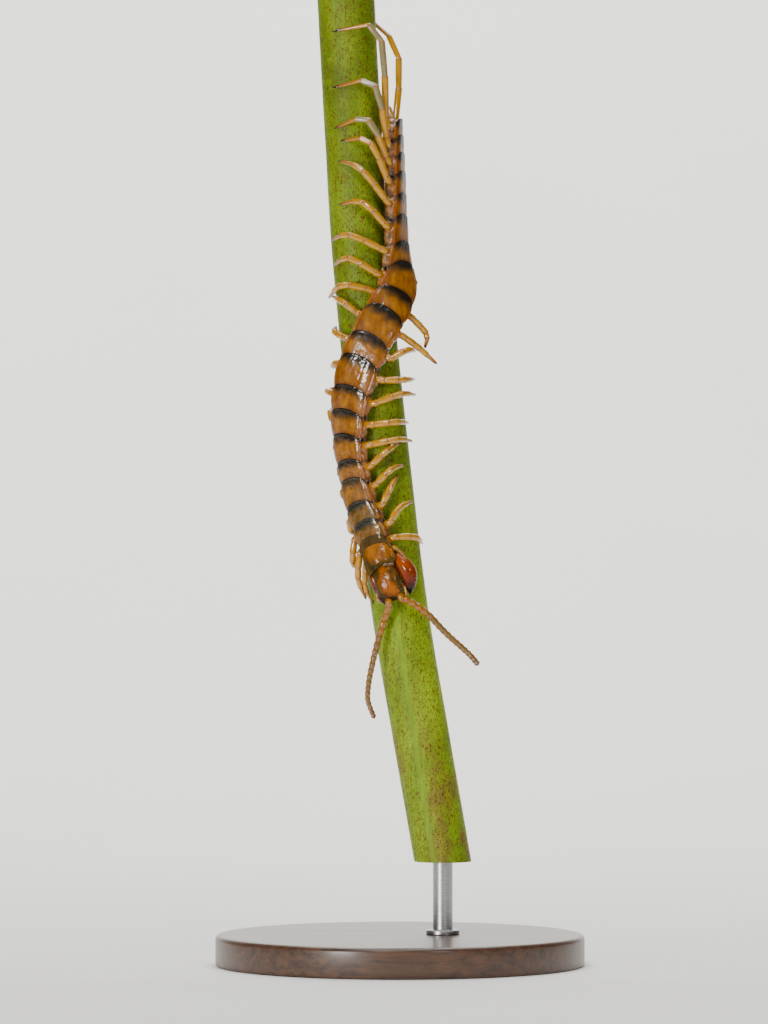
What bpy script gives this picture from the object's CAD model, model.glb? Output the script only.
"""Looks for the giant centipede on its cut stem: plates, skin, legs, feelers, stem, stand, light, camera.

Lengths are in millimetres until a mesh is made. The lines that place the animal are those of the solids.
"""

import math

import bpy
import numpy as np
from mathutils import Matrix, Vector, noise


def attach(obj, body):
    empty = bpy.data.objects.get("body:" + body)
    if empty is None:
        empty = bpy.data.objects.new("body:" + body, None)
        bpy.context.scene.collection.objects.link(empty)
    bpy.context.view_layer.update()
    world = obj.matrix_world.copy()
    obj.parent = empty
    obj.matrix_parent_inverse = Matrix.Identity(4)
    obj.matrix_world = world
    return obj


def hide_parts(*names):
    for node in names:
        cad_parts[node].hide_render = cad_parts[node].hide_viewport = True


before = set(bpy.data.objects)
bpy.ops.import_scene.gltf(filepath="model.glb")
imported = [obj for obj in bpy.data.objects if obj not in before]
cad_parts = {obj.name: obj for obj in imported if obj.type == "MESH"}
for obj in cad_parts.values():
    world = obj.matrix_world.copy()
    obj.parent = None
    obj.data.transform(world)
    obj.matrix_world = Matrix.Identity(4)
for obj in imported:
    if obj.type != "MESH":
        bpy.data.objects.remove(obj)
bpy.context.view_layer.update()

MM = 0.001
SIDES = (("left", 1), ("right", -1))

BASE_RADIUS = 48.0
BASE_HEIGHT = 8.0
BASE_ROUNDING = 1.2
ROD_RADIUS = 2.6
COLLAR = (  # radius and height above the base
    (4.2, 0), (4.4, 0.2), (4.4, 1), (4.2, 1.2), (2.75, 1.2), (ROD_RADIUS, 1.35),
)
STEM_RADIUS = 7.5
STEM_FOOT = 27.0
STEM_TOP = 255.0
STEM_LINE = (  # height, x of the stem's middle
    (26, 11.3), (60, 5.4), (92, 0), (124, -4), (155, -7.4), (187, -10.4), (217, -12.2), (256, -14.3),
)
STEM_ROWS, STEM_SIDES = 420, 120
STEM_END = (  # rings of a cut end: share of the radius, how far it is sunk, colour
    (0.965, 0, (120, 150, 40)),
    (0.9, 0.05, (206, 212, 150)),
    (0.6, 0.05, (206, 212, 150)),
    (0.2, 0.05, (226, 226, 186)),
)
STRIPE_LINE = ((32, 84), (-19, -9))  # heights, angles round the stem
SPECKS = (  # how many, size, least and most crowded, strength, colour
    (0.95, 0.17, 0.4, 0.54, 0.8, (104, 48, 14)),
    (1.6, 0.24, 0.34, 0.5, 0.85, (98, 46, 14)),
    (2.8, 0.3, 0.26, 0.46, 0.8, (92, 52, 18)),
)

# Line of the body: height, angle of its place round the stem, angle that its back faces (degrees from -Y
# towards +X), and how far it is lifted off the stem
BODY_LINE = (
    (82, -4, -4, 1.5), (92, -6.3, -8, 1.4), (99, -10.3, -14.5, 1.1), (106, -17.5, -24.5, 0.6),
    (113, -28, -32, 0.1), (120, -40, -42.5, 0), (128, -47.5, -50, 0), (136, -49.5, -48, 0),
    (144, -41.5, -37, 0), (152, -26.5, -26.5, 0), (160, -4, -17.5, 0), (168, 25, -0.5, 0.1),
    (176, 57, 33, 0.3), (184, 65, 62, 0.4), (194, 71, 73, 0.5), (206, 78, 77, 0.6),
    (219, 81, 78, 0.6), (227, 82, 78, 0.6),
)
BODY_FRONT = 94.7
BODY_CLEAR = 0.3
BACK_RISE = 2.2
BELLY_DROP = 2.2
HEAD_LENGTH = 8.5
PLATE_LENGTHS = (
    5.3, 2.4, 4.6, 5.2, 6.4, 4.9, 6.8, 6.3, 6.2, 7.8, 6,
    7.6, 5.9, 8.2, 5.3, 7, 5.6, 5.7, 4.9, 4.6, 4.2,
)
HALF_WIDTHS = ((1, 4.4), (4, 4.6), (6, 4.9), (8, 5.3), (12, 5.5), (14, 5.4), (17, 4.9), (21, 3.9))
PLATE_STEP = 0.28
PLATE_ARC = 1.2
SEGMENTS = len(PLATE_LENGTHS)
PLATE_ROWS, PLATE_COLUMNS = 40, 57
PLATE_THICKNESS = 0.24
PLATE_LAP = 0.35
PLATE_CORNER = 0.9
BAND_DEPTHS = (3, 3.6)  # of the front and of the hind plates
FIRST_HIND_BAND = 10
UNDERSIDE_SHADE = (0.6, 0.6, 0.6, 1)
WRINKLED = range(3, 11)  # plates with a wrinkled left side
NECK_SLIMNESS = 0.58
NECK_SHARE = 0.45
NECK_END = 2.0
SKIN_OUTLINE = (  # round the right half of the trunk: share of half width, share of rise or drop
    (0, 0.78), (0.5, 0.76), (0.8, 0.6), (0.93, 0.2), (1, -0.42), (0.86, -0.8), (0.6, -0.96), (0, -1),
)
SKIN_SIDES = 96
SKIN_ROWS = 26  # for each segment
SKIN_CLEAR = 0.12
SPIRACLES = {  # segment with breathing holes: share of its length
    3: 0.86, 5: 0.82, 7: 0.93, 8: 0.97, 10: 0.97, 12: 0.9, 14: 0.9, 16: 0.9, 18: 0.9, 20: 0.9,
}
SPIRACLE_RIM = ((1.35, -0.3), (1.4, 0.05), (1.2, 0.2), (0.98, 0.16), (0.86, -0.05))  # reach, height
SPIRACLE_SIZE = 0.6
FIRST_SPIRACLE = 0.5
SPIRACLE_LEVEL = 0.35
SPIRACLE_SINK = 0.08

LEG_CLEAR = 0.3  # from the trunk and the stem
LEG_INSET = 0.9  # inside the flank
COXA_RADIUS = 0.85
COXA_LENGTH = 1.0
LEG_JOINTS = (  # share of the leg's length, radius just before and just after the joint
    (0.07, 0.88, 0.84), (0.30, 0.93, 0.82), (0.52, 0.86, 0.74), (0.72, 0.74, 0.60), (0.955, 0.36, 0.24),
)
LEG_PLACE = 0.66
FIRST_LEG_PLACE = 0.85
LAST_LEG_PLACE = 0.75
FIRST_LEG_SIZE = 0.82
LEG_LEVEL = -0.5
LEG_SIDES = 22
LEG_STEP = 0.1  # from ring to ring
CLAW_RADIUS = 0.27
SPUR_RADIUS = 0.1
TIP_RADII = (0.03, 0.015)  # of the claws and teeth, and of the spurs
BLUE_LEGS = 19  # the first pair whose shanks are bluish
LEG_POSES = {  # angle round the stem, rise and reach from its axis: of the foot, then of the knee
    "left": (
        (20, -11.5, 8, 19, -2.4, 8.75), (82, -1.7, 8, 34, 0.1, 10.8),
        (56, 5.5, 8.1, 13, 3.2, 11.2), (28, 7.7, 8.1, 9, 4.7, 10.9),
        (44, 5.2, 8.1, 11, 4, 11.2), (39, 6.1, 8.1, 8, 3.9, 11.2),
        (68, 1.2, 9.3, 22, 1.5, 11.6), (73, 0.8, 8.6, 21, 0.7, 12),
        (74, 2.5, 11.2, 29, 2.4, 13), (76, 0.5, 11.3, 32, 0.1, 13.2),
        (79, 2.3, 12.2, 38, 1.8, 13.8), (72, -7.2, 18, 64, -3.1, 14.5),
        (72, -8, 15, 79, -5.1, 15.6), (150, -2, 8.2, 118, -1, 12.5),
        (158, 1, 8.2, 125, 0.5, 11.8), (168, 3, 8.2, 128, 2, 11.8),
        (176, 5, 8.2, 130, 3.5, 11.8), (180, 6.5, 8.2, 132, 4.5, 11.8),
        (184, 10, 8.2, 134, 7, 11.8), (176, 16, 8.2, 128, 11, 11.9),
        (150, 31, 8.2, 106, 23, 12.2),
    ),
    "right": (
        (-55, -11.7, 8, -58, -8.3, 9.4), (-73, -12.4, 8.6, -63, -7.1, 10.9),
        (-96, -7.9, 9.6, -68, -5.8, 11.4), (-118, -2, 8.2, -71, -2.1, 10.6),
        (-120, 1, 8.2, -92, 1.5, 10.9), (-128, 3, 8.2, -93, 2, 10.9),
        (-135, 4, 8.2, -93, 2.5, 10.9), (-135, 4, 8.2, -88, 1.5, 12),
        (-132, 2, 8.2, -86, 0.5, 12), (-118, 1, 8.2, -65, -0.5, 10.6),
        (-77, 3, 8.4, -56, 1.3, 10.2), (-80, 4.3, 8.4, -28, 2.2, 10.8),
        (-90, -1.9, 9.4, -23, 1.2, 11.3), (-63, 2.4, 8.1, -16, 4.1, 11.2),
        (-62, 2.9, 8.1, -15, 4.1, 11.2), (-35, 5.8, 8.1, 5, 6.4, 11.4),
        (-33, 11, 8.1, 2, 9.4, 11.2), (-25, 10.6, 8.1, 16, 10.7, 11.4),
        (-38, 8.8, 8.1, 17, 11.2, 11.4), (-37, 14.8, 8.1, 25, 16.3, 11.6),
        (-31, 24.6, 8.1, 27, 26.2, 11.8),
    ),
}

# The head's own measures: forward of the first plate, across and up
HEAD_MIDDLE = 3.2
HEAD_REACH = (5, 5.3)  # back and front of that
HEAD_HALF_WIDTH = 3.45
HEAD_DOME = 1.78
HEAD_FALL = 1.25  # from the dome to the edge
HEAD_WAVES = 0.3  # how much of the material's waves the head shows
HEAD_ROWS, HEAD_SIDES = 36, 120
HEAD_UNDERSIDE = (  # share of the outline, level
    (1, 0.36), (0.97, 0.2), (0.9, -0.2), (0.8, -0.55), (0.6, -0.7), (0.2, -0.7),
)
JAW_LEVEL = -1.72
JAW_HALF_WIDTH = 3.3
JAW_HALF_HEIGHT = 0.68
JAW_BACK, JAW_FRONT = -3, 5.3
TOOTH_LEVEL = -1.5
TOOTH_FOOT, TOOTH_TIP = 5, 5.75
TOOTH_RADIUS = 0.17
TOOTH_SPACING = 0.28
EYE_FORWARD = 5.3
EYE_LEVEL = 0.35
LENSES = (  # forward of the eye's middle, how far inside the head's edge, lift, radius
    (-0.95, 0, 0.05, 0.36), (-0.1, 0.28, 0.42, 0.3), (0.05, -0.02, -0.2, 0.29), (0.85, 0.1, 0.15, 0.31),
)
PALP_LINE = ((4.2, 3, -1), (5.8, 3.75, -0.75), (7.2, 3.75, -0.6), (8.3, 3.1, -0.7))
FANG_LINES = {  # forward, across, up, radius
    "left": (
        (-2.6, 4.1, -0.5, 0.85), (-1.1, 4.75, -0.6, 1.5), (0.8, 5.55, -0.6, 2), (2.8, 5.85, -0.6, 2.1),
        (4.9, 5.5, -0.7, 1.65), (6.5, 5, -0.9, 0.95), (7.7, 4.6, -1.1, 0.15),
    ),
    "right": (
        (-1.4, 3.9, -1.4, 0.8), (0.8, 3.9, -1.5, 1.15), (3.3, 3.7, -1.8, 1.2), (5.5, 3.3, -1.9, 1.05),
        (7.5, 2.6, -1.9, 0.8), (9, 1.8, -1.9, 0.45), (9.8, 1.1, -1.9, 0.12),
    ),
}
FANG_GROOVES = ((0.52, 0.025), (0.58, 0.025), (0.65, 0.045))  # share of the length, depth
FANG_SIDES = 40
FEELER_ROOTS = {"left": (9.1, 2.8, 0.1), "right": (9.4, 1.2, 0.1)}
FEELER_INSIDES = {"left": 7, "right": 7.4}  # forward, where the feeler starts inside the head
FEELER_LINES = {  # x, y and height through which each feeler curves after its root
    "right": (
        (-3.9, -9.7, 90.4), (-5.2, -9.3, 86.3), (-6.7, -9, 80.6), (-8, -8.7, 74.4), (-8.4, -8.6, 69.9),
        (-8, -8.5, 67.9), (-6.6, -8.4, 64.4),
    ),
    "left": (
        (1.6, -11.6, 95.2), (5.1, -11.2, 93), (7.7, -10.8, 90.9), (10.3, -10.4, 88.1),
        (12.9, -10.1, 85.5), (15.5, -9.8, 83.2), (18.1, -9.5, 80.8), (20.3, -9.2, 78.2),
    ),
}
FEELER_ARTICLES = {"left": 18, "right": 20}
FEELER_RADII = {"left": (1, 0.9, 0.8), "right": (0.96, 0.86, 0.68)}  # root, middle, tip
FEELER_SIDES = 24
ARTICLE_SHARES = (1.35, 0.72)  # how long the first and the last joint are beside the others
BEAD_WAIST = 0.62
TAIL_RADII = (1.7, 1.3, 1.5)

FLOOR_HALF_WIDTH = 2500.0
FLOOR_FRONT = -1800.0
COVE_START = 500.0
COVE_RADIUS = 700.0
COVE_STEPS = 24
BACKDROP_TOP = 3000.0
FLOOR_FAR = 1e5
PAPER_REACH = (320, 800)  # where the paper starts to fade and where it ends
MIDDLE = (0, 0, 125)
WARM = (1, 0.98, 0.95)
LIGHTS = (  # name, place, what it points at, width and height, watts, colour
    ("key", (-760, -1050, 100), MIDDLE, (300, 220), 8.6, WARM),
    ("top", (-250, -1000, 980), MIDDLE, (260, 150), 4.6, WARM),
    ("front", (520, -1150, 420), MIDDLE, (130, 130), 2.2, (1, 0.98, 0.96)),
    ("sky", (0, -300, 1400), (0, 0, 60), (900, 900), 9, (1, 1, 1)),
    ("backdrop", (0, 500, 1300), (0, 1200, 350), (1200, 400), 29, (1, 1, 1)),
)
WORLD_COLOUR = (0.85, 0.87, 0.9, 1)
WORLD_STRENGTH = 0.1
CAMERA_DISTANCE = 1500.0
SENSOR = 24
PIXEL = 0.26  # at the stem's middle
PICTURE_HEIGHT = 1024
CAMERA_X = -4.16
CAMERA_HEIGHT = 117.8


def linear(colour):
    """Linear colour from a tuple of 0 to 255 a channel; an array is one already."""
    if not isinstance(colour, tuple):
        return colour
    c = np.array(colour) / 255
    return np.where(c <= 0.04045, c / 12.92, ((c + 0.055) / 1.055) ** 2.4)


def ramp(at, low, high):
    """0 below low, 1 above high and smooth between."""
    t = np.clip((np.asarray(at, float) - low) / (high - low), 0, 1)
    return t * t * (3 - 2 * t)


def hump(x):
    """1 at 0, and smoothly down to nearly 0 at 2 on either side."""
    return np.exp(-(x**2))


def limit(x):
    return np.clip(x, 0, 1)


def mix(colour, *coats):
    """A colour with others laid over it, each followed by its share."""
    for coat, share in zip(coats[::2], coats[1::2]):
        share = np.asarray(share, float)[..., None]
        colour = linear(colour) * (1 - share) + linear(coat) * share
    return colour


def unit(v):
    v = np.asarray(v, float)
    return v / np.linalg.norm(v, axis=-1, keepdims=True)


def circle(count):
    """Angles of evenly spaced points round a circle."""
    return 2 * np.pi * np.arange(count) / count


def smooth(keys, at):
    """Values at places on the smooth curve through keys, whose first column is the place."""
    keys = np.asarray(keys, float)
    places, values = keys[:, 0], keys[:, 1:]
    slopes = np.gradient(values, places, axis=0)
    at = np.asarray(at, float)
    i = np.clip(np.searchsorted(places, at) - 1, 0, len(places) - 2)
    span = (places[i + 1] - places[i])[..., None]
    t = (at[..., None] - places[i][..., None]) / span
    from_start = (2 * t**3 - 3 * t**2 + 1) * values[i] + (t**3 - 2 * t**2 + t) * (slopes[i] * span)
    to_end = (3 * t**2 - 2 * t**3) * values[i + 1] + (t**3 - t**2) * (slopes[i + 1] * span)
    found = from_start + to_end
    return found if values.shape[1] > 1 else found[..., 0]


def curve_through(keys, count):
    """This many values on the smooth curve through keys that lie one step apart."""
    return smooth([(i, *key) for i, key in enumerate(keys)], np.linspace(0, len(keys) - 1, count))


def grain(points, scale, seed=0.0, stretch=(1, 1, 1)):
    """Smooth noise of about -1 to 1 at each point; scale is its usual size."""
    flat = (np.asarray(points).reshape(-1, 3) * stretch / scale + seed).tolist()
    return np.array([noise.noise(Vector(p)) for p in flat]).reshape(np.asarray(points).shape[:-1])


def lengths_along(line):
    """The length from a line's start to each of its points."""
    return np.concatenate([[0], np.cumsum(np.linalg.norm(np.diff(line, axis=0), axis=1))])


def between(at, lengths, line):
    """Points on a line at any lengths, from those of its own points."""
    return np.stack([np.interp(at, lengths, line[:, i]) for i in range(3)], axis=-1)


def resample(line, step):
    """Evenly spaced points along a line, and the length at each."""
    lengths = lengths_along(line)
    at = np.linspace(0, lengths[-1], max(4, int(lengths[-1] / step)))
    return between(at, lengths, line), at


def ease(line, reach):
    """Rounds a line's bends by averaging it over this many neighbours each way, with its ends kept."""
    padded = np.concatenate([np.repeat(line[:1], reach, 0), line, np.repeat(line[-1:], reach, 0)])
    eased = np.mean([padded[i : i + len(line)] for i in range(2 * reach + 1)], axis=0)
    order = np.arange(len(line))
    weight = np.minimum(1, np.minimum(order, order[::-1]) / reach)[:, None]
    return line * (1 - weight) + eased * weight


# Places on the stem and the body


def round_stem(angle, height, radius):
    """Points at these angles round the stem, heights and distances from its axis."""
    a = np.radians(angle)
    x = smooth(STEM_LINE, height) + radius * np.sin(a)
    return np.stack(np.broadcast_arrays(x, -radius * np.cos(a), np.asarray(height, float)), axis=-1)


def axis_point(point):
    """The point of the stem's axis at the same height."""
    return np.array([smooth(STEM_LINE, point[2]), 0.0, point[2]])


def push_off_stem(points, radius):
    """The points, each moved straight out from the stem's axis until it is at least this far from it."""
    points = np.asarray(points, float)
    height = points[..., 2]
    axis = np.stack([smooth(STEM_LINE, height), np.zeros(height.shape), height], axis=-1)
    out = points - axis
    distance = np.linalg.norm(out, axis=-1, keepdims=True)
    return axis + out * np.maximum(1, radius / distance)


def make_body_line():
    """The body's middle line: lengths from the head's front, points, tailward, back and left directions."""
    height = np.arange(BODY_LINE[0][0], BODY_LINE[-1][0], 0.25)
    angle, roll, lift = smooth(BODY_LINE, height).T
    points = round_stem(angle, height, STEM_RADIUS + BODY_CLEAR + BELLY_DROP + lift)
    lengths = lengths_along(points)
    lengths -= np.interp(BODY_FRONT, height, lengths)
    at = np.arange(lengths[0] + 1, lengths[-1] - 1, 0.1)
    tailward = unit(between(at + 0.8, lengths, points) - between(at - 0.8, lengths, points))
    turn = np.radians(np.interp(at, lengths, roll))
    back = np.stack([np.sin(turn), -np.cos(turn), 0 * turn], axis=-1)
    back = unit(back - tailward * np.sum(back * tailward, axis=-1, keepdims=True))
    return at, between(at, lengths, points), tailward, back, np.cross(tailward, back)


BODY_AT, BODY_POINTS, BODY_TAILWARD, BODY_BACK, BODY_LEFT = make_body_line()
PLATE_STARTS = HEAD_LENGTH + np.concatenate([[0], np.cumsum(PLATE_LENGTHS)])


def along_body(table, length):
    return between(length, BODY_AT, table)


HEAD_BACK = along_body(BODY_BACK, HEAD_LENGTH)


def place(length, across, up):
    """Points beside the body's middle line: across towards the left side, up towards the back."""
    beside = along_body(BODY_LEFT, length) * np.asarray(across, float)[..., None]
    above = along_body(BODY_BACK, length) * np.asarray(up, float)[..., None]
    return along_body(BODY_POINTS, length) + beside + above


def on_head(forward, across, up):
    """Points by the head's own measures."""
    return place(HEAD_LENGTH - forward, across, up)


def length_at(segment, share):
    """Length along the body at a share of a segment."""
    return PLATE_STARTS[segment - 1] + share * PLATE_LENGTHS[segment - 1]


def half_width(segment, share):
    return smooth(HALF_WIDTHS, segment - 0.5 + share)


def flank(segment, share):
    """Half width of the flanks, which are slimmer than the plates only in the first two segments."""
    widened = (segment - 1 + np.asarray(share) - NECK_SHARE) / (NECK_END - NECK_SHARE)
    return half_width(segment, share) * (NECK_SLIMNESS + (1 - NECK_SLIMNESS) * limit(widened))


def leg_share(segment):
    """The share of a segment where its legs are rooted."""
    return {1: FIRST_LEG_PLACE, SEGMENTS: LAST_LEG_PLACE}.get(segment, LEG_PLACE)


# Meshes


def add_object(name, data):
    thing = bpy.data.objects.new(name, data)
    bpy.context.scene.collection.objects.link(thing)
    return thing


def add_piece(name, points, faces, material, slot, replaces=(), tint=None, crease=35):
    """A mesh object from points, which rides on the part and may stand for some of its nodes."""
    points = np.asarray(points, float).reshape(-1, 3)
    data = bpy.data.meshes.new(name)
    data.from_pydata((points * MM).tolist(), [], faces)
    data.update()
    if tint is not None:
        tint = np.asarray(linear(tint), float)
        values = np.ones((len(points), 4))
        values[:, : tint.shape[-1]] = tint
        colours = data.color_attributes.new("tint", "FLOAT_COLOR", "POINT")
        colours.data.foreach_set("color", values.ravel())
    data.shade_smooth()
    if crease:
        data.set_sharp_from_angle(angle=math.radians(crease))
    data.materials.append(material)
    piece = add_object(name, data)
    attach(piece, "root")
    if replaces:
        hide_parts(*replaces)


def grid_faces(rows, columns, start=0, closed=False):
    """Faces of a grid of points, rows times columns; closed joins the last column to the first."""
    faces = []
    for r in range(rows - 1):
        for c in range(columns if closed else columns - 1):
            d = (c + 1) % columns
            a, b = start + r * columns, start + (r + 1) * columns
            faces.append((a + c, a + d, b + d, b + c))
    return faces


def tube(rings, start=0):
    """Points and faces of a closed tube through rings of equally many points."""
    rings = np.asarray(rings)
    rows, sides = rings.shape[:2]
    points = np.concatenate([rings.reshape(-1, 3), [rings[0].mean(0)], [rings[-1].mean(0)]])
    faces = grid_faces(rows, sides, start, closed=True)
    first, last = start + rows * sides, start + rows * sides + 1
    for c in range(sides):
        d = (c + 1) % sides
        faces.append((start + d, start + c, first))
        faces.append((start + (rows - 1) * sides + c, start + (rows - 1) * sides + d, last))
    return points, faces


def tube_tint(rows, ends=None):
    """Colours of a tube's points, from a row of them for each ring and the two of its end points."""
    rows = np.asarray(rows)
    ends = [rows[0, 0], rows[-1, 0]] if ends is None else ends
    return np.concatenate([rows.reshape(-1, rows.shape[-1]), ends])


def gather(shapes):
    """One list of points and faces from several closed tubes."""
    points, faces, count = [], [], 0
    for rings in shapes:
        p, f = tube(rings, count)
        points.append(p)
        faces += f
        count += len(p)
    return np.concatenate(points), faces


def sheet_shell(top, bottom, start=0):
    """Points and faces of a closed shell from two grids of points, one over the other."""
    rows, columns = top.shape[:2]
    size = rows * columns
    points = np.concatenate([top.reshape(-1, 3), bottom.reshape(-1, 3)])
    faces = grid_faces(rows, columns, start)
    faces += [f[::-1] for f in grid_faces(rows, columns, start + size)]
    edge = [(0, c) for c in range(columns)] + [(r, columns - 1) for r in range(1, rows)]
    edge += [(rows - 1, c) for c in range(columns - 2, -1, -1)] + [(r, 0) for r in range(rows - 2, 0, -1)]
    ids = [start + r * columns + c for r, c in edge]
    for a, b in zip(ids, ids[1:] + ids[:1]):
        faces.append((b, a, a + size, b + size))
    return points, faces


def swept_rings(line, radii, sides, up, squash=1.0):
    """Rings across a line of points, kept from twisting; squash flattens them along the up direction."""
    line = np.asarray(line, float)
    alongs = unit(np.gradient(line, axis=0))
    up = unit(up - alongs[0] * (up @ alongs[0]))
    cosine, sine = np.cos(circle(sides))[:, None], np.sin(circle(sides))[:, None]
    before = alongs[0]
    rings = []
    for point, along, radius in zip(line, alongs, radii):
        up = up - (before + along) * (up @ along) / (1 + before @ along)
        up = unit(up - along * (up @ along))
        before = along
        rings.append(point + radius * (cosine * up * squash + sine * np.cross(along, up)))
    return np.array(rings)


def spike(line, t, root, tip, sides, up, power=1.0):
    """Rings of a pointed shape along a line, whose radius falls from root + tip to tip."""
    return swept_rings(line, root * (1 - t[:, 0]) ** power + tip, sides, up)


def ball(middle, directions, radii, rows=10, sides=16):
    """Rings of an egg shape round a point, with three directions and radii."""
    a, b, c = directions
    turns = circle(sides)[:, None]
    rings = []
    for angle in np.linspace(0.08, np.pi - 0.08, rows):
        flat = np.cos(turns) * a * radii[0] + np.sin(turns) * b * radii[1]
        rings.append(middle + math.sin(angle) * flat + math.cos(angle) * np.asarray(c) * radii[2])
    return rings


def lathe(profile, x, sides):
    """Rings of a turned shape from its radii and heights."""
    c, s = np.cos(circle(sides)), np.sin(circle(sides))
    return [np.stack([x + r * c, r * s, h + 0 * c], axis=-1) for r, h in profile]


# Materials


class Shader:
    """A material's nodes, with short calls to add and link them."""

    def __init__(self, name, **values):
        self.material = bpy.data.materials.new(name)
        self.material.use_nodes = True
        self.tree = self.material.node_tree
        self.main = self.tree.nodes["Principled BSDF"]
        for socket, value in values.items():
            self.main.inputs[socket.replace("_", " ")].default_value = value

    def put(self, socket, value):
        """Gives a socket a link, a number, a vector or a colour."""
        if isinstance(value, bpy.types.NodeSocket):
            self.tree.links.new(value, socket)
        else:
            socket.default_value = (*linear(value), 1.0) if socket.type == "RGBA" else value

    def add(self, kind, **values):
        node = self.tree.nodes.new("ShaderNode" + kind)
        for key, value in values.items():
            if hasattr(node, key):
                setattr(node, key, value)
            else:
                self.put(node.inputs[key.replace("_", " ")], value)
        return node

    def spot(self, stretch=(1, 1, 1)):
        """Place on the object in millimetres, stretched."""
        where = self.add("TexCoord").outputs["Object"]
        return self.add("Mapping", Vector=where, Scale=[v / MM for v in stretch]).outputs["Vector"]

    def noise(self, where, scale, detail=3.0, roughness=0.55, distortion=0.0, output="Fac"):
        node = self.add("TexNoise", Scale=scale, Detail=detail, Roughness=roughness, Distortion=distortion)
        self.put(node.inputs["Vector"], where)
        return node.outputs[output]

    def map(self, value, low, high, to_low=0.0, to_high=1.0):
        limits = {"From_Min": low, "From_Max": high, "To_Min": to_low, "To_Max": to_high}
        return self.add("MapRange", clamp=True, Value=value, **limits).outputs["Result"]

    def math(self, operation, *values, kind="Math"):
        """A number node, or a vector node if kind says so."""
        node = self.add(kind, operation=operation)
        for socket, value in zip(node.inputs, values):
            self.put(socket, value)
        return node.outputs["Value" if kind == "Math" or operation == "LENGTH" else "Vector"]

    def blend(self, a, b, share, mode="MIX"):
        """Colour blend; a and b are colours or sockets, share is a number or a socket."""
        node = self.add("Mix", data_type="RGBA", blend_type=mode)
        for index, value in ((6, a), (7, b), (0, share)):
            self.put(node.inputs[index], value)
        return node.outputs[2]

    def tint(self, part="Color"):
        return self.add("Attribute", attribute_name="tint").outputs[part]

    def finish(self, colour, roughness, height, strength=1.0, distance=1.0):
        """Links the surface's colour, roughness and bump."""
        bump = self.add("Bump", Strength=strength, Distance=distance * MM, Height=height)
        self.put(self.main.inputs["Base Color"], colour)
        self.put(self.main.inputs["Roughness"], roughness)
        self.put(self.main.inputs["Normal"], bump.outputs["Normal"])
        return self.material


def shell_material(name, roughness, coat, depth, mottle, wave, ripple, shine=0.4, gloss=1.5):
    """Glossy horn: its colour comes from the mesh, with soft mottling; waves and ripples break up its shine."""
    s = Shader(
        name, Roughness=roughness, Specular_IOR_Level=shine,
        Coat_Weight=coat, Coat_Roughness=0.05, Coat_IOR=gloss,
        Subsurface_Weight=depth, Subsurface_Radius=(0.0009, 0.0004, 0.00015), Subsurface_Scale=1.0,
    )
    where = s.spot()
    light = s.map(s.noise(where, 1.1, 4.0, 0.6), 0.3, 0.7, 1 - mottle, 1 + mottle)
    tone = s.add("CombineColor", Red=light, Green=light, Blue=light).outputs["Color"]
    colour = s.blend(s.tint(), tone, 1.0, "MULTIPLY")
    rough = s.map(s.noise(where, 1.4, 3.0), 0.3, 0.7, roughness - 0.05, roughness + 0.08)
    ripples = s.math("MULTIPLY", s.noise(where, 2.6, 3.0, 0.5), ripple)
    both = s.math("MULTIPLY_ADD", s.noise(where, 0.55, 2.0, 0.5, 0.9), wave, ripples)
    return s.finish(colour, rough, s.math("MULTIPLY", both, s.tint("Alpha")))


def stem_material():
    """Waxy green rind with long fibres, brown specks and pale scuffs; the mesh says where it stays clean."""
    s = Shader(
        "stem_rind", Roughness=0.5, Specular_IOR_Level=0.25,
        Subsurface_Weight=0.05, Subsurface_Radius=(0.001, 0.0012, 0.0003), Subsurface_Scale=1.0,
    )
    where, long = s.spot(), s.spot((1, 1, 0.5))
    fibres = s.map(s.noise(s.spot((1, 1, 0.05)), 1.3, 4.0), 0.45, 0.75, 0.0, 0.55)
    colour = s.blend(s.tint(), (84, 106, 8), fibres)
    colour = s.blend(colour, (152, 182, 14), s.map(s.noise(where, 0.25, 4.0, 0.6), 0.52, 0.75, 0.0, 0.55))
    for count, size, low, high, strength, tone in SPECKS:
        wobble = s.noise(where, 2.2, 3.0, 0.5, output="Color")
        bent = s.math("MULTIPLY_ADD", wobble, (0.45, 0.45, 0.45), long, kind="VectorMath")
        cells = s.add("TexVoronoi", Scale=count, Randomness=1.0, Vector=bent)
        speck = s.map(cells.outputs["Distance"], size, size + 0.09, 1.0, 0.0)
        crowd = s.map(s.noise(where, 0.22 * count, 3.0), low, high, 0.0, strength)
        kept = s.math("MULTIPLY", s.math("MULTIPLY", speck, crowd), s.tint("Alpha"))
        colour = s.blend(colour, tone, kept)
    scuffs = s.map(s.noise(long, 0.9, 7.0, 0.72), 0.64, 0.71, 0.0, 0.45)
    colour = s.blend(colour, (200, 206, 92), scuffs)
    rough = s.map(s.noise(where, 0.8, 4.0), 0.3, 0.7, 0.42, 0.66)
    return s.finish(colour, rough, s.noise(long, 2.4, 6.0, 0.65), 0.45, 0.12)


def wood_material():
    """Dark stained wood with a fine straight grain, satin lacquer over it."""
    s = Shader("base_wood", Roughness=0.38, Coat_Weight=0.3, Coat_Roughness=0.2)
    grain_at = s.spot((0.045, 1, 1))
    rings = s.noise(grain_at, 0.55, 6.0, 0.6, 0.8)
    pores = s.noise(grain_at, 5.0, 3.0, 0.7)
    colour = s.blend((52, 33, 22), (94, 62, 40), s.map(rings, 0.35, 0.68))
    colour = s.blend(colour, (24, 14, 9), s.map(pores, 0.55, 0.7, 0.0, 0.6))
    return s.finish(colour, s.map(rings, 0.3, 0.7, 0.32, 0.46), pores, 0.25, 0.05)


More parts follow.
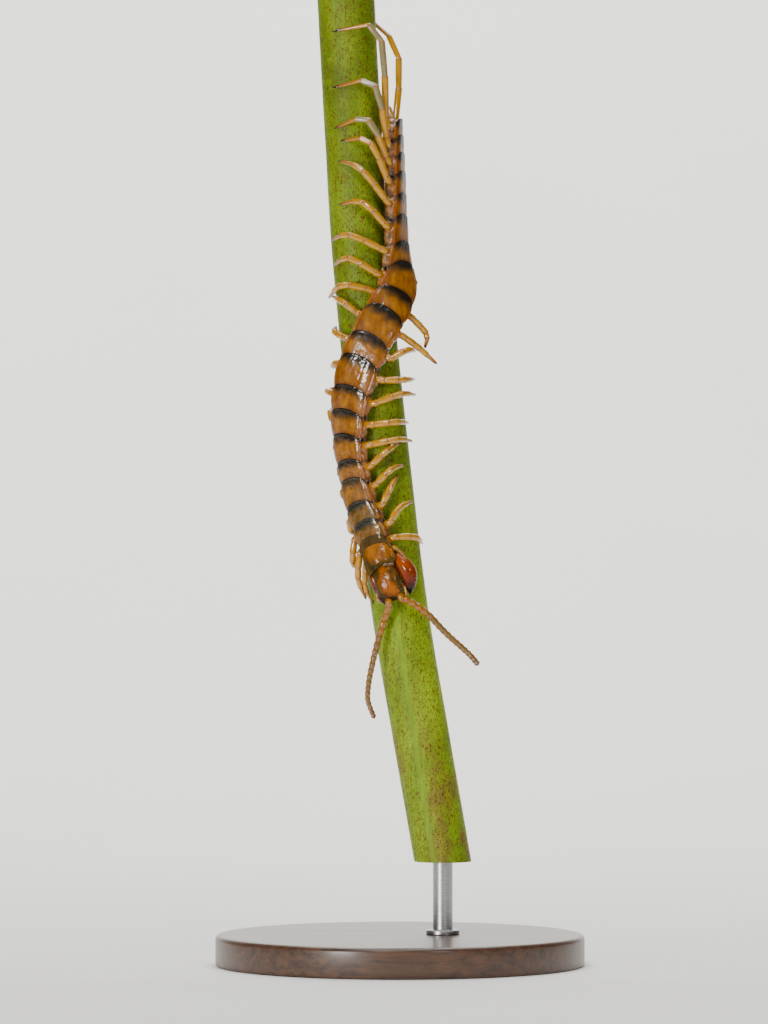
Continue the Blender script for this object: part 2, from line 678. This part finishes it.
def steel_material():
    """Brushed steel with fine lines round the rod."""
    s = Shader("rod_steel", Metallic=1.0, Roughness=0.3)
    lines = s.noise(s.spot((0.3, 0.3, 6)), 2.0, 4.0, 0.7)
    colour = s.blend((150, 152, 156), (205, 206, 208), s.map(lines, 0.3, 0.7))
    return s.finish(colour, s.map(lines, 0.3, 0.7, 0.24, 0.42), lines, 0.2, 0.03)


def floor_material():
    """Pale paper, laid on a grey studio floor that shows only far to the sides and in front."""
    s = Shader("pale_floor", Roughness=0.85, Specular_IOR_Level=0.2)
    soft = s.noise(s.spot(), 0.004, 2.0)
    paper = s.blend((238, 237, 232), (244, 243, 238), s.map(soft, 0.3, 0.7))
    ahead = s.math("MINIMUM", s.spot(), (FLOOR_FAR, 0.0, 0.0), kind="VectorMath")
    far = s.map(s.math("LENGTH", ahead, kind="VectorMath"), *PAPER_REACH)
    s.put(s.main.inputs["Base Color"], s.blend(paper, (150, 150, 149), far))
    return s.material


# Name, roughness, coat, depth of light, mottling, waves, ripples, shine and gloss of the coat
PLATE = shell_material("plate_horn", 0.24, 0.62, 0.03, 0.16, 0.12, 0.02, 0.25)
SKIN = shell_material("flank_skin", 0.3, 0.9, 0.1, 0.22, 0.3, 0.05, 0.3)
HIND_PLATE = shell_material("hind_plate_horn", 0.32, 0.25, 0.03, 0.16, 0.12, 0.02, 0.25)
HEAD = shell_material("head_horn", 0.28, 0.2, 0.03, 0.2, 0.12, 0.02, 0.06)
LEG = shell_material("leg_horn", 0.2, 0.8, 0.1, 0.06, 0.01, 0.0, 0.05, 2.0)
FEELER = shell_material("feeler_horn", 0.22, 0.8, 0.03, 0.06, 0.0, 0.0, 0.03, 1.8)
FANG = shell_material("fang_horn", 0.16, 0.5, 0.03, 0.12, 0.05, 0.0, 0.06)
CLAW = shell_material("claw_horn", 0.35, 0.15, 0.0, 0.1, 0.03, 0.0, 0.3)
BLACK = shell_material("black_horn", 0.1, 0.9, 0.0, 0.1, 0.03, 0.0)

PLATE_GROUPS = (  # name, first and last segment, material
    ("front_plates", 1, 2, HEAD),
    ("back_plates", 3, 10, PLATE),
    ("hind_plates", 11, SEGMENTS, HIND_PLATE),
)

AMBER = (166, 106, 8)
DEEP_AMBER = (124, 70, 6)
RIM = (176, 88, 12)
BAND = (28, 20, 8)
SMOKE = (80, 56, 22)
OLIVE = (92, 70, 22)
DARK_OLIVE = (54, 46, 18)
TAN = (168, 112, 56)
GREY_SKIN = (80, 60, 36)
LEG_YELLOW = (198, 140, 4)
LEG_JOINT = (158, 82, 4)
LEG_BLUE = (125, 125, 91)
INK = (10, 9, 9)


# Pieces


def dark_share(segment, v, u, points):
    """How dark a plate is: its hind part is black, which fades forward into amber."""
    wave = 0.09 * grain(points, 2.2, 3.0) + 0.03 * grain(points, 0.8, 9.0)
    depth = BAND_DEPTHS[segment >= FIRST_HIND_BAND] / PLATE_LENGTHS[segment - 1]
    side = 0.25 * np.abs(u) ** 3 - 0.12 * (1 - u**2)
    return ramp(v + wave - side * depth, 1.0 - depth, 1.0)


def plate_tint(segment, v, u, points):
    """Colour of a plate at shares of its length and half width."""
    streak = grain(points, 1.2, 5.0 + segment, (1, 1, 0.45))
    dark = dark_share(segment, v, u, points)
    front = limit(ramp(-v, -0.3, 0.02) + 0.7 * ramp(np.abs(u), 0.55, 0.95)) * 0.55
    colour = mix(AMBER, DEEP_AMBER, limit(0.45 + 0.9 * streak), (104, 58, 20), front)
    colour = mix(colour, SMOKE, ramp(dark, 0.0, 0.6) * 0.85, BAND, ramp(dark, 0.4, 0.97))
    if segment == 1:
        inside = ramp(1 - np.hypot((u - 0.16) * 0.92, (v - 0.76) * 1.25), 0.0, 0.5)
        outer = mix(DARK_OLIVE, OLIVE, limit(0.3 + streak))
        colour = mix(outer, mix((158, 94, 8), (122, 72, 12), limit(0.3 - streak)), inside)
    elif segment == 2:
        colour = mix((84, 62, 24), (54, 42, 18), limit(0.5 + streak))
    elif segment in (3, 4):
        lines = limit(0.5 + 1.6 * grain(points, 0.9, 2.0, (1, 1, 0.3)))
        base = mix((134, 86, 18), OLIVE, lines)
        colour = mix(base, DARK_OLIVE, ramp(dark, 0.1, 0.8), (32, 30, 22), ramp(dark, 0.55, 1.0) * 0.8)
    elif segment == 5:
        colour = mix(colour, OLIVE, 0.35 * limit(0.6 + streak))
    rim = ramp(np.abs(u), 0.925, 0.97) * (1 - 0.8 * ramp(v, 0.7, 0.92))
    return mix(colour, RIM, rim * (0.8 if segment > 4 else 0.35))


def plate_shape(segment, v, u):
    """Length along the body, half width and height of a plate's top at shares of its length and width."""
    side, inner = np.abs(u), limit(v)
    bulge = 0.94 + 0.1 * np.sin(np.pi * limit(v * 0.9 + 0.08)) ** 0.7
    corner = PLATE_CORNER * limit((side - 0.72) / 0.28) ** 2.4
    length = length_at(segment, v) + PLATE_ARC * (1 - u**2) + inner**3 * (PLATE_LAP - corner)
    length += 0.5 * (1 - inner) ** 3 * corner
    rise = BACK_RISE * (1 - 0.46 * side**4.2) - PLATE_STEP * (1 - inner) ** 1.4 + 0.1
    rim_at_sides = 0.1 * hump((side - 0.96) / 0.03) - 0.1 * hump((side - 0.885) / 0.03)
    two_grooves = 0.05 * hump((side - 0.34) / 0.022) * (segment > 2)
    rim_behind = 0.06 * hump((v - 0.97) / 0.03)
    rise += rim_at_sides - two_grooves + rim_behind
    if segment == 1:
        length += 0.9 * u * limit(1 - v) ** 2
        rise += 0.22 * hump((v - 0.06) / 0.05) - 0.5 * ramp(-v, -0.02, 0.05)
    return length, half_width(segment, v) * bulge, rise


def make_plates(name, segments, material):
    """Plates of the back: arched, thin, rimmed at the sides and lapping over the next behind."""
    v, u = np.meshgrid(np.linspace(-0.04, 1.0, PLATE_ROWS), np.linspace(-1, 1, PLATE_COLUMNS), indexing="ij")
    u = np.clip(np.sign(u) * (1 - (1 - np.abs(u)) ** 1.6) * 0.35 + 0.65 * u, -1, 1)
    points, faces, tints = [], [], []
    count = 0
    for segment in segments:
        length, half, rise = plate_shape(segment, v, u)
        top = place(length, half * u, rise)
        rough = 0.05 * grain(top, 1.1, segment) + 0.025 * grain(top, 0.45, 7.0)
        top = place(length, half * u, rise + rough * ramp(1 - np.abs(u), 0.0, 0.15))
        bottom = place(length - 0.04 * (v > 0.99), half * u * 0.985, rise - PLATE_THICKNESS)
        wet_side = 0.8 * ramp(u, 0.1, 0.5) * (segment in WRINKLED)
        wrinkles = 0.2 + wet_side + 0.3 * ramp(np.abs(u), 0.8, 0.95)
        tint = np.concatenate([plate_tint(segment, v, u, top), wrinkles[..., None]], axis=-1).reshape(-1, 4)
        part_points, part_faces = sheet_shell(top, bottom, count)
        points.append(part_points)
        faces += part_faces
        tints += [tint, tint * UNDERSIDE_SHADE]
        count += len(part_points)
    add_piece(name, np.concatenate(points), faces, material, "body_shell", (), np.concatenate(tints), 50)


def make_skin():
    """The soft skin of flanks and belly: folded between segments, bulging over the roots of the legs."""
    half_turn = curve_through(SKIN_OUTLINE, SKIN_SIDES // 2 + 1)
    outline = np.concatenate([half_turn, (half_turn * (-1, 1))[-2:0:-1]])
    wide, tall = outline.T
    beside = hump((tall + 0.25) / 0.3) * (np.abs(wide) > 0.7)
    rings, tints = [], []
    for segment in range(1, SEGMENTS + 1):
        last = segment == SEGMENTS
        for share in np.linspace(0, 1, SKIN_ROWS, endpoint=last):
            fold = 0.05 * math.cos(2 * math.pi * share)
            taper = 1 - 0.35 * ramp(share, 0.7, 1.0) * last
            half = np.where(tall < 0.5, flank(segment, share), half_width(segment, share))
            near = hump((share - leg_share(segment)) * PLATE_LENGTHS[segment - 1] / 1.1)
            across = wide * half * (1.0 - fold) * taper + np.sign(wide) * 0.45 * near * beside
            up = tall * np.where(tall > 0, BACK_RISE, BELLY_DROP) * taper
            length = length_at(segment, share) + PLATE_ARC * (1 - wide**2) * limit(tall + 0.4)
            ring = place(length, across, up)
            folds = 0.34 * grain(ring, 1.1, 4.0, (1, 1, 1.8)) + 0.08 * grain(ring, 0.5, 8.0)
            ring = place(length, across + wide * folds, up + tall * folds * 0.5)
            ring = push_off_stem(ring, STEM_RADIUS + SKIN_CLEAR)
            rings.append(ring)
            tints.append(mix(
                GREY_SKIN,
                TAN, limit(0.75 + 0.9 * grain(ring, 1.3, 11.0)),
                (176, 108, 40), 0.8 * near * beside,
                (58, 46, 32), 0.7 * ramp(abs(share - 0.5), 0.36, 0.5),
                (150, 96, 40), ramp(-tall, 0.8, 0.95),
            ))
    trunk = [f"trunk_{i}" for i in range(1, 6)]
    add_piece("flank_skin", *tube(rings), SKIN, "body_shell", trunk, tube_tint(tints, [linear(TAN)] * 2), 0)


def make_spiracles():
    """Round breathing holes on the flanks: a dark pit in a raised brown rim."""
    turns = circle(24)[:, None]
    pits, rims = [], []
    for segment, share in SPIRACLES.items():
        length = length_at(segment, share)
        size = SPIRACLE_SIZE if segment > 3 else FIRST_SPIRACLE
        tail = along_body(BODY_TAILWARD, length)
        for side in (-1, 1):
            middle = place(length, side * (flank(segment, share) - SPIRACLE_SINK), SPIRACLE_LEVEL)
            out = unit(along_body(BODY_LEFT, length) * side)
            up = np.cross(tail, out)
            flat = np.cos(turns) * tail * 0.85 + np.sin(turns) * up
            rims.append([middle + out * height + flat * size * reach for reach, height in SPIRACLE_RIM])
            pits.append(ball(middle - out * 0.1, (tail, up, out), (size * 0.8, size * 0.9, 0.14), 8, 16))
    add_piece("spiracle_rims", *gather(rims), SKIN, "body_shell", (), (92, 62, 44))
    add_piece("spiracle_pits", *gather(pits), CLAW, "body_shell", (), INK)


def leg_line(segment, side, pose):
    """The points where a leg bends, from inside the trunk to the tip of its claw."""
    length, across = length_at(segment, leg_share(segment)), side * flank(segment, leg_share(segment))
    outward = (-LEG_INSET, LEG_CLEAR, LEG_CLEAR + COXA_LENGTH)
    inside, root, knuckle = [place(length, across + side * out, LEG_LEVEL) for out in outward]
    foot_angle, foot_rise, foot_reach, knee_angle, knee_rise, knee_reach = pose
    knee = round_stem(knee_angle, knuckle[2] + knee_rise, knee_reach)
    foot = round_stem(foot_angle, knuckle[2] + foot_rise, foot_reach)
    upper, lower = np.linalg.norm(knee - knuckle), np.linalg.norm(foot - knee)
    bend = ((0.0, *knuckle), (upper / (upper + lower), *knee), (1.0, *foot))
    clear = STEM_RADIUS + LEG_CLEAR
    joints = [push_off_stem(smooth(bend, share), clear + radius) for share, radius, _ in LEG_JOINTS]
    return np.array([inside, root, knuckle, *joints, foot])


def make_leg(name, segment, side, pose):
    """One leg: joints that flare at their far ends, and its claw and spurs as rings for other pieces."""
    bends = leg_line(segment, side, pose)
    corner = lengths_along(bends)
    line, at = resample(bends[:-1], LEG_STEP)
    line = ease(line, 4)
    hip = [COXA_RADIUS * 1.2, COXA_RADIUS * 1.05, COXA_RADIUS]
    start = hip + [radius * 0.98 for _, _, radius in LEG_JOINTS]
    end = hip + [radius * 1.01 for _, radius, _ in LEG_JOINTS]
    size = FIRST_LEG_SIZE if segment == 1 else 1
    radii, tints = [], []
    for spot in at:
        i = min(int(np.searchsorted(corner, spot, side="right")) - 1, len(start) - 2)
        after, before = spot - corner[i], corner[i + 1] - spot
        t = after / (corner[i + 1] - corner[i])
        flare = 0.03 * hump(before / 0.3) if i > 2 else 0.0
        radius = start[i] * (1 - t) + end[i + 1] * t + 0.04 * math.sin(math.pi * t) + flare
        groove = hump((min(after, before) if i > 2 else before) / 0.11) if i >= 2 else 0.0
        radii.append(radius * (1 - 0.08 * groove) * size)
        joint = 0.55 * hump(before / 0.6) + 0.25 * hump(after / 0.4) if i >= 2 else 0.45
        colour = mix(LEG_YELLOW, LEG_JOINT, joint, (104, 50, 16), 0.5 * groove)
        if segment >= BLUE_LEGS and side < 0 and i in (4, 5):
            colour = mix(colour, LEG_BLUE, 0.8 * (1 - joint))
        if i >= 6:
            colour = mix(colour, (140, 66, 20), 0.3 + 0.5 * t, (52, 26, 14), ramp(t, 0.8, 1.0))
        tints.append([colour.reshape(3)] * LEG_SIDES)
    back = along_body(BODY_BACK, length_at(segment, leg_share(segment)))
    points, faces = tube(swept_rings(line, radii, LEG_SIDES, back))
    speck = grain(points, 0.9, segment) + 0.5 * grain(points, 0.4, segment)
    tint = tube_tint(tints) * (1 + 0.14 * speck)[:, None]
    add_piece(f"{name}_horn", points, faces, LEG, "legs_and_feelers", [name], tint, 0)
    return claw_and_spurs(line, bends)


def claw_and_spurs(line, bends):
    """Rings of a leg's curved claw and of the two spurs under its last long joint."""
    heel, tip, joint = line[-1], bends[-1], bends[6]
    out = unit(tip - axis_point(tip))
    t = np.linspace(0, 1, 12)[:, None]
    middle = (heel + tip) / 2 + out * 0.22
    begin = heel - unit(heel - line[-4]) * 0.25
    claw = (1 - t) ** 2 * begin + 2 * t * (1 - t) * middle + t**2 * tip
    heading = unit(bends[7] - joint)
    down = axis_point(joint) - joint
    down = unit(down - heading * (down @ heading))
    spurs = []
    for turn in (-0.5, 0.5):
        sideways = unit(down + np.cross(heading, down) * turn)
        foot = joint + sideways * 0.5 - heading * 0.1
        spur = foot + (sideways * 0.28 + heading * 0.5) * t
        spurs.append(spike(spur, t, SPUR_RADIUS, TIP_RADII[1], 8, out))
    return spike(claw, t, CLAW_RADIUS, TIP_RADII[0], 12, out, 0.8), spurs


def make_legs():
    claws, spurs = [], []
    for name, side in SIDES:
        for segment, pose in enumerate(LEG_POSES[name], 1):
            claw, pair = make_leg(f"leg_{name}_{segment:02d}", segment, side, pose)
            claws.append(claw)
            spurs += pair
    add_piece("claws", *gather(claws), CLAW, "legs_and_feelers", (), (30, 16, 8))
    add_piece("leg_spurs", *gather(spurs), LEG, "legs_and_feelers", (), (96, 48, 18))


def head_edge(turn, grow=1.0):
    """The head plate's outline from above: forward and across at an angle, 0 being straight ahead."""
    c, s = np.cos(turn), np.sin(turn)
    power = 2 / 2.5
    forward = np.sign(c) * np.abs(c) ** power * np.where(c > 0, HEAD_REACH[1], HEAD_REACH[0])
    return HEAD_MIDDLE + forward * grow, np.sign(s) * np.abs(s) ** power * HEAD_HALF_WIDTH * grow


def head_tint(share, forward, across, points):
    """Colour of a ring of the head: amber, with four dark spots and a dark edge and front."""
    streak = grain(points, 1.3, 21.0, (1, 1, 0.55)) + 0.5 * grain(points, 0.6, 5.0)
    aside = np.abs(across)
    spots = hump((forward - 1.3) / 1.3) * hump((aside - 1.9) / 0.9)
    spots += 0.8 * hump((forward - 4.2) / 1.6) * hump((aside - 2.5) / 0.7)
    middle = 0.6 * hump(aside / 0.5) * ramp(forward, 2.6, 4.0) * ramp(-forward, -6.0, -4.6)
    edge = ramp(share + 0.14 * streak, 0.66, 0.98)
    return mix(
        (160, 86, 6),
        (122, 68, 10), limit(0.3 + 1.2 * streak),
        (120, 58, 14), limit(middle + 0.3 * streak),
        (62, 54, 24), np.clip(0.9 * spots + 0.9 * edge + 0.3 * streak, 0, 0.92),
        (34, 20, 6), ramp(forward + 0.8 * streak, 5.8, 8.0) * 0.9,
    )


def make_head():
    """Head capsule: an arched plate with a rounded front and thin sides over a shallow underside."""
    turns = circle(HEAD_SIDES)
    rings, tints = [], []
    for share in np.linspace(0.03, 1, HEAD_ROWS):
        forward, across = head_edge(turns, share)
        forward = forward - 0.35 * hump(across / 0.7) * ramp(forward, 7.2, 8.5)
        up = HEAD_DOME - HEAD_FALL * share**3.4 - 0.3 * ramp(forward, 4.5, 8.5)
        point = on_head(forward, across, up)
        up = up + 0.05 * grain(point, 1.4, 2.0) * (1 - share**6) + 0.02 * grain(point, 0.5, 4.0)
        up = up - 0.06 * hump((share - 0.9) / 0.04)
        rings.append(on_head(forward, across, up))
        tints.append(head_tint(share, forward, across, point))
    for share, level in HEAD_UNDERSIDE:
        rings.append(on_head(*head_edge(turns, share), level))
        tints.append(np.broadcast_to(linear((110, 66, 26)), (HEAD_SIDES, 3)))
    tint = tube_tint(tints)
    tint = np.column_stack([tint, np.full(len(tint), HEAD_WAVES)])
    add_piece("head_capsule", *tube(rings), HEAD, "body_shell", ["head"], tint, 50)


def make_jaw_plate():
    """The plate under the head that carries the poison claws, with two toothed lobes in front."""
    c, s = np.cos(circle(64)), np.sin(circle(64))
    rings = []
    for forward in np.linspace(JAW_BACK, JAW_FRONT, 40):
        half = JAW_HALF_WIDTH * math.sqrt(max(0.02, 1 - (max(0.0, forward - 0.5) / 4.9) ** 2.2))
        cleft = 0.5 * hump(forward - JAW_FRONT) * hump(c / 0.2)
        across = half * np.sign(c) * np.abs(c) ** 0.75
        level = JAW_LEVEL + JAW_HALF_HEIGHT * np.sign(s) * np.abs(s) ** 0.75
        rings.append(push_off_stem(on_head(forward - cleft, across, level), STEM_RADIUS + 0.15))
    points, faces = tube(rings)
    tint = mix((196, 92, 20), (140, 60, 14), limit(0.5 + grain(points, 1.2, 6.0)))
    add_piece("jaw_plate", points, faces, FANG, "poison_claws", ["forcipule_plate"], tint, 50)
    teeth = []
    t = np.linspace(0, 1, 6)[:, None]
    for side in (-1, 1):
        for i in range(4):
            across = side * (0.3 + TOOTH_SPACING * i)
            foot = on_head(TOOTH_FOOT, across, TOOTH_LEVEL)
            tip = on_head(TOOTH_TIP - 0.06 * i, across, TOOTH_LEVEL)
            teeth.append(spike(foot + (tip - foot) * t, t, TOOTH_RADIUS, TIP_RADII[0], 10, HEAD_BACK, 0.6))
    add_piece("jaw_teeth", *gather(teeth), BLACK, "poison_claws", (), (70, 18, 8))


def make_fangs():
    """The poison claws: a stout first joint, two short ones and a long curved fang with a dark tip."""
    for name, side in SIDES:
        forward, across, up, radii = curve_through(FANG_LINES[name], 90).T
        line = on_head(forward, side * across, up)
        lengths = lengths_along(line)
        share = lengths / lengths[-1]
        radii = np.maximum(radii, 0.08)
        for joint, depth in FANG_GROOVES:
            radii = radii * (1 - depth * hump((share - joint) / 0.012))
        points, faces = tube(swept_rings(line, radii, FANG_SIDES, HEAD_BACK, 0.92))
        early = 0.0 if name == "left" else 0.2
        colour = mix(
            (150, 66, 0),
            (122, 42, 1), ramp(share, 0.2 - early, 0.55 - early),
            (70, 18, 3), ramp(share, 0.55 - early, 0.78 - early),
            (14, 4, 2), ramp(share, 0.72 - early, 0.9),
        )
        tint = tube_tint(np.repeat(colour[:, None], FANG_SIDES, axis=1))
        tint = tint * (1 + 0.2 * grain(points, 1.5, 3.0))[:, None]
        add_piece(f"poison_claw_{name}", points, faces, FANG, "poison_claws", [f"forcipule_{name}"], tint, 0)


def make_eyes():
    """Four shining lenses in a low dark patch on each side of the head."""
    for name, side in SIDES:
        shapes = []
        for ahead, inset, lift, size in LENSES:
            forward = EYE_FORWARD + ahead
            turn = math.acos(((forward - HEAD_MIDDLE) / HEAD_REACH[1]) ** 1.25)
            across = head_edge(np.array(turn))[1] - 0.1 - inset
            middle = on_head(forward, side * across, EYE_LEVEL + lift)
            around = [along_body(t, HEAD_LENGTH - forward) for t in (BODY_TAILWARD, BODY_BACK, BODY_LEFT)]
            long = size * (1.25 if ahead < -0.5 else 1.0)
            shapes.append(ball(middle, around, (long, size, size), 14, 24))
        add_piece(f"ocelli_{name}", *gather(shapes), BLACK, "eyes", [f"eyes_{name}"], INK)


def make_palps():
    """The feeding palps, which show between the head and the poison claws."""
    t = np.linspace(0, 1, 40)
    joints = 1 - 0.12 * hump((t - 0.4) / 0.03) - 0.12 * hump((t - 0.75) / 0.03)
    radii = (0.42 - 0.2 * t**2) * joints
    forward, across, up = curve_through(PALP_LINE, len(t)).T
    shapes = [swept_rings(on_head(forward, side * across, up), radii, 18, HEAD_BACK) for side in (-1, 1)]
    add_piece("feeding_palps", *gather(shapes), LEG, "legs_and_feelers", (), (180, 104, 34))


def feeler_line(name, side):
    """The middle line of a feeler, from inside the head to its tip."""
    forward, across, up = FEELER_ROOTS[name]
    inside = on_head(FEELER_INSIDES[name], side * (across * 0.75), up)
    curve = curve_through([on_head(forward, side * across, up), *FEELER_LINES[name]], 400)
    inner = inside + (curve[0] - inside) * np.linspace(0, 1, 12)[:-1, None]
    return ease(resample(np.concatenate([inner, curve]), 0.09)[0], 8)


def make_feelers():
    """Feelers of bead-like joints: the first four smooth and bright, the rest duller, smaller to the tip."""
    for name, side in SIDES:
        line = feeler_line(name, side)
        share = np.linspace(0, 1, len(line))
        count = FEELER_ARTICLES[name]
        steps = np.cumsum(np.linspace(*ARTICLE_SHARES, count))
        joints = np.concatenate([[0], steps / steps[-1]])
        which = np.clip(np.searchsorted(joints, share, side="right") - 1, 0, count - 1)
        t = (share - joints[which]) / (joints[which + 1] - joints[which])
        size = smooth(list(enumerate(FEELER_RADII[name])), 2 * share)
        bead = BEAD_WAIST + (1 - BEAD_WAIST) * limit(np.sin(np.pi * limit(0.08 + 0.86 * t**1.25))) ** 0.5
        end = 1 - ramp(share, 0.985, 1.0) * 0.6
        rings = swept_rings(line, size * bead * end, FEELER_SIDES, np.array([0.0, -1.0, 0.0]))
        ridge = 1 - 0.85 * ramp(np.abs(np.sin(circle(FEELER_SIDES))), 0.45, 0.95)
        end_of_joint = np.abs(t - 0.5)
        grey = ramp(which, 3.5, 5.5) * (1 - ramp(end_of_joint, 0.25, 0.48))
        colour = mix(
            (158, 98, 2),
            (110, 86, 40), grey[:, None] * ridge,
            (92, 42, 16), 0.75 * ramp(end_of_joint, 0.4, 0.5)[:, None],
            (104, 48, 22), 0.6 * ramp(share, 0.82, 1.0)[:, None],
        )
        points, faces = tube(rings)
        node = f"antenna_{name}"
        add_piece(f"feeler_{name}", points, faces, FEELER, "legs_and_feelers", [node], tube_tint(colour), 0)


def make_tail():
    """The end of the body: a rounded last valve between the roots of the last legs."""
    end = PLATE_STARTS[-1]
    middle = place(end + 0.1, 0.0, -0.2)
    directions = [along_body(t, end) for t in (BODY_LEFT, BODY_BACK, BODY_TAILWARD)]
    points, faces = tube(ball(middle, directions, TAIL_RADII, 20, 40))
    tint = mix((180, 112, 44), (120, 72, 30), limit(0.5 + grain(points, 0.9, 2.0)))
    add_piece("tail_valve", points, faces, SKIN, "body_shell", (), tint, 0)


def stem_tint(points, angle, height):
    """Green, brown near the foot, with a clean stripe and a pale strip; last column: where specks stay."""
    patch = grain(points, 7.0, 3.0, (1, 1, 0.5)) + 0.6 * grain(points, 2.5, 8.0, (1, 1, 0.5))
    fresh = limit(0.5 + 1.2 * grain(points, 6.0, 12.0, (1, 1, 0.3)))
    colour = mix(
        (104, 130, 4),
        (132, 158, 10), fresh,
        (112, 84, 36), limit(ramp(height, 75, 40) * ramp(patch, -0.12, 0.3)) * 0.8,
        (82, 100, 10), limit(0.3 + grain(points, 12.0, 15.0)) * 0.5,
    )
    colour = colour * (1 + 0.45 * ramp(-height, -150, -85))[..., None]
    around = (angle + 180) % 360 - 180 - np.interp(height, *STRIPE_LINE) - 1.5 * grain(points, 9.0, 31.0)
    stripe = np.exp(-((around / 6.0) ** 4)) * ramp(-height, -112, -92)
    beside = np.exp(-(((around - 16) / 10.0) ** 4)) * ramp(-height, -90, -50)
    pale = 0.45 * beside * limit(0.7 + grain(points, 3.0, 17.0))
    colour = mix(colour, (172, 168, 52), pale, (130, 164, 4), 0.75 * stripe)
    return np.concatenate([colour, 1 - 0.92 * stripe[..., None]], axis=-1)


def make_stem():
    """The stem: a slightly uneven rod with a pale cut pith at each end."""
    heights = np.linspace(STEM_FOOT, STEM_TOP, STEM_ROWS)
    height, angle = np.meshgrid(heights, np.degrees(circle(STEM_SIDES)), indexing="ij")
    points = round_stem(angle, height, STEM_RADIUS)
    swell = 0.06 * grain(points, 9.0, 1.0, (1, 1, 0.4)) + 0.025 * grain(points, 2.0, 5.0, (1, 1, 0.3)) - 0.05
    points = round_stem(angle, height, STEM_RADIUS + swell)
    rings, tints = list(points), list(stem_tint(points, angle, height))
    for end, inward in ((0, 1), (-1, -1)):
        centre = points[end].mean(0)
        for share, sink, tone in STEM_END:
            at = len(rings) if end else 0
            rings.insert(at, centre + (points[end] - centre) * share + (0, 0, inward * sink))
            tints.insert(at, np.broadcast_to([*linear(tone), 0.3], (STEM_SIDES, 4)))
    pith = [*linear(STEM_END[-1][2]), 0.0]
    tint = tube_tint(tints, [pith, pith])
    add_piece("stem_rind", *tube(rings), stem_material(), "plant_stem", ["stem"], tint, 40)


def make_stand():
    """Turned wooden base with rounded edges and a steel rod in a small collar."""
    outer, rounding = BASE_RADIUS - BASE_ROUNDING, BASE_HEIGHT - BASE_ROUNDING
    profile = [(20, 0), (BASE_RADIUS - 0.8, 0), (BASE_RADIUS - 0.2, 0.2), (BASE_RADIUS, 0.8)]
    for a in np.linspace(1.57, 0, 9):
        profile.append((outer + BASE_ROUNDING * math.sin(a), rounding + BASE_ROUNDING * math.cos(a)))
    profile += [(44, BASE_HEIGHT), (24, BASE_HEIGHT)]
    base = tube(lathe(profile, 0, 256))
    add_piece("base_turned", *base, wood_material(), "stand_base", ["stand_base"], None, 40)
    profile = [(radius, BASE_HEIGHT + 0.02 + height) for radius, height in COLLAR]
    profile.append((ROD_RADIUS, STEM_FOOT - 0.05))
    rod = tube(lathe(profile, float(smooth(STEM_LINE, STEM_FOOT)), 96))
    add_piece("rod_turned", *rod, steel_material(), "stand_rod", ["stand_rod"], None, 40)


def make_stage():
    """Pale floor that curves up into a backdrop."""
    turn = np.linspace(0, np.pi / 2, COVE_STEPS)[1:]
    flat = np.linspace(FLOOR_FRONT, COVE_START, COVE_STEPS)
    depth = [*flat, *(COVE_START + COVE_RADIUS * np.sin(turn)), COVE_START + COVE_RADIUS]
    height = [*(0 * flat), *(COVE_RADIUS - COVE_RADIUS * np.cos(turn)), BACKDROP_TOP]
    edges = (-FLOOR_HALF_WIDTH, FLOOR_HALF_WIDTH)
    points = [(x, y, z) for y, z in zip(depth, height) for x in edges]
    data = bpy.data.meshes.new("floor")
    data.from_pydata((np.array(points) * MM).tolist(), [], grid_faces(len(depth), 2))
    data.shade_smooth()
    data.materials.append(floor_material())
    add_object("floor", data)


def make_lights():
    for name, spot, aim, size, power, colour in LIGHTS:
        data = bpy.data.lights.new(name, "AREA")
        data.shape = "RECTANGLE"
        data.size, data.size_y = size[0] * MM, size[1] * MM
        data.energy = power
        data.color = colour
        light = add_object(name, data)
        light.location = Vector(spot) * MM
        light.rotation_euler = (Vector(aim) - Vector(spot)).to_track_quat("-Z", "Y").to_euler()
    world = bpy.data.worlds.new("studio")
    world.use_nodes = True
    background = world.node_tree.nodes["Background"]
    background.inputs["Color"].default_value = WORLD_COLOUR
    background.inputs["Strength"].default_value = WORLD_STRENGTH
    bpy.context.scene.world = world


def make_camera():
    """A level camera, whose height sets what the picture shows."""
    data = bpy.data.cameras.new("camera")
    data.sensor_fit = "VERTICAL"
    data.sensor_height = SENSOR
    data.lens = SENSOR * CAMERA_DISTANCE / (PIXEL * PICTURE_HEIGHT)
    data.clip_end = 20
    camera = add_object("camera", data)
    camera.location = Vector((CAMERA_X, -CAMERA_DISTANCE, CAMERA_HEIGHT)) * MM
    camera.rotation_euler = (math.pi / 2, 0, 0)
    bpy.context.scene.camera = camera


for group, first, last, horn in PLATE_GROUPS:
    make_plates(group, range(first, last + 1), horn)
make_skin()
make_spiracles()
make_legs()
make_head()
make_jaw_plate()
make_fangs()
make_eyes()
make_palps()
make_feelers()
make_tail()
make_stem()
make_stand()
make_stage()
make_lights()
make_camera()
